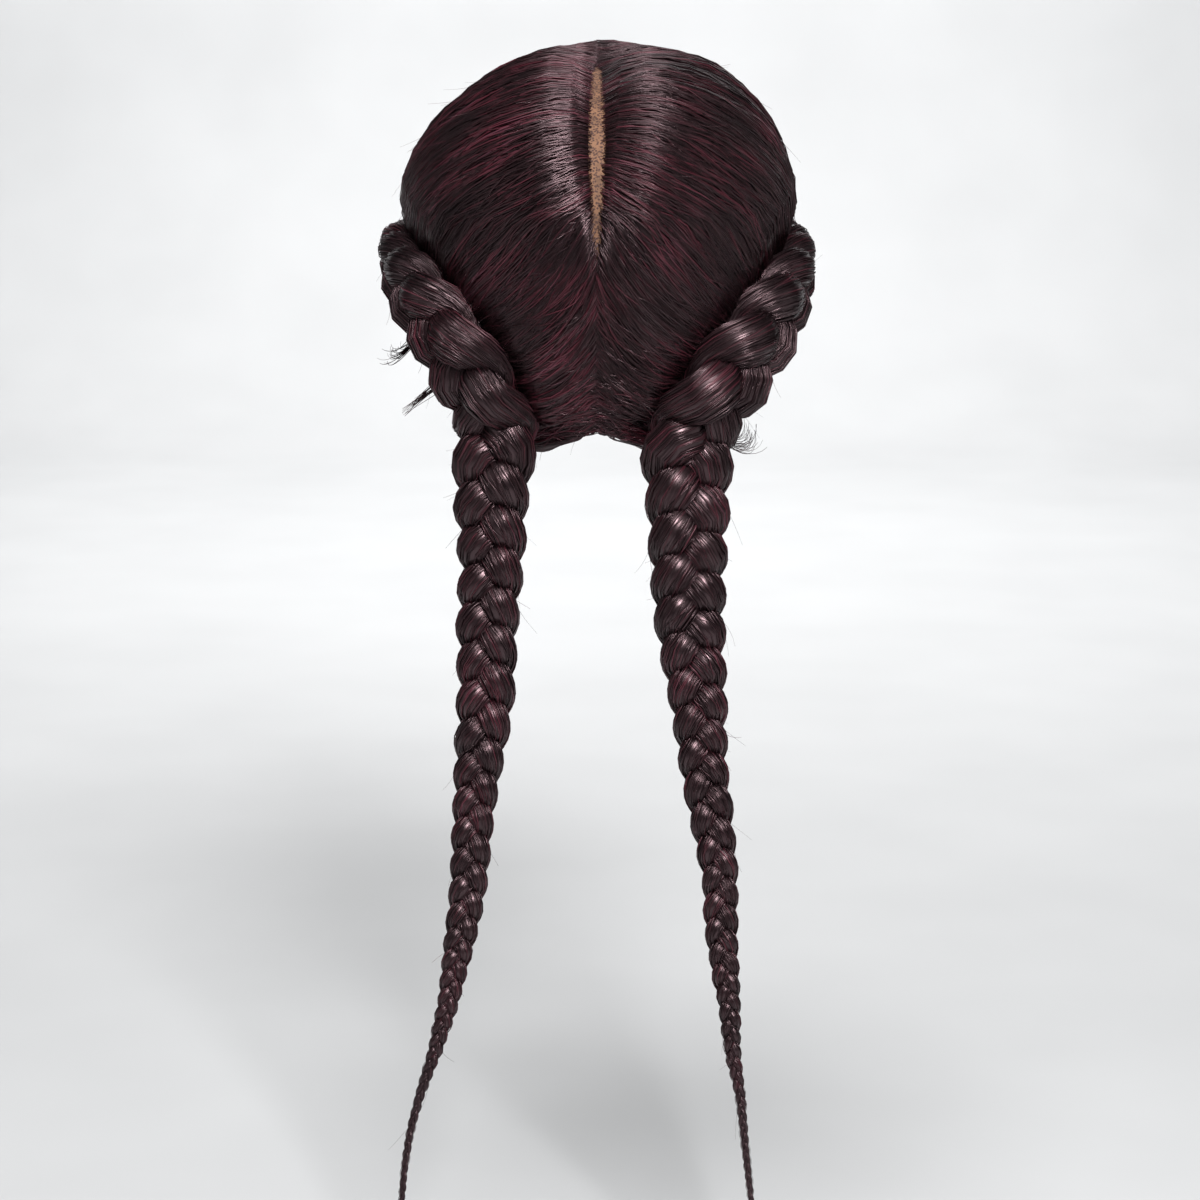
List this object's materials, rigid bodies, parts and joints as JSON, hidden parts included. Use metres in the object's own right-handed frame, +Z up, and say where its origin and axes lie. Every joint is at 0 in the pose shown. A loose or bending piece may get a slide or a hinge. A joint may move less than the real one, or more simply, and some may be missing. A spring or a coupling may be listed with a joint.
{
  "type": "braid wig",
  "caption": "Dark plum wig on a soft hollow cap, with a lace middle parting and a plaited braid that starts at each temple and hangs behind the shoulder.",
  "frame": {"origin": "inner face of the cap at the crown, where the wig bears on the top of a head", "axes": "+Z up, the face looks along -Y, the back of the head and the braids are towards +Y, the wearer's left is +X"},
  "size_m": [0.2066, 0.2105, 0.5425],
  "materials": {
    "cap": "dark stretch net",
    "lace": "tan lace with dark knots",
    "hair": "glossy dark plum hair"
  },
  "bodies": {
    "root": {"cap": "cap", "parting_lace": "lace", "left_hair": "hair", "right_hair": "hair", "left_braid_strand_1": "hair", "left_braid_strand_2": "hair", "left_braid_strand_3": "hair", "right_braid_strand_1": "hair", "right_braid_strand_2": "hair", "right_braid_strand_3": "hair"}
  },
  "joints": []
}
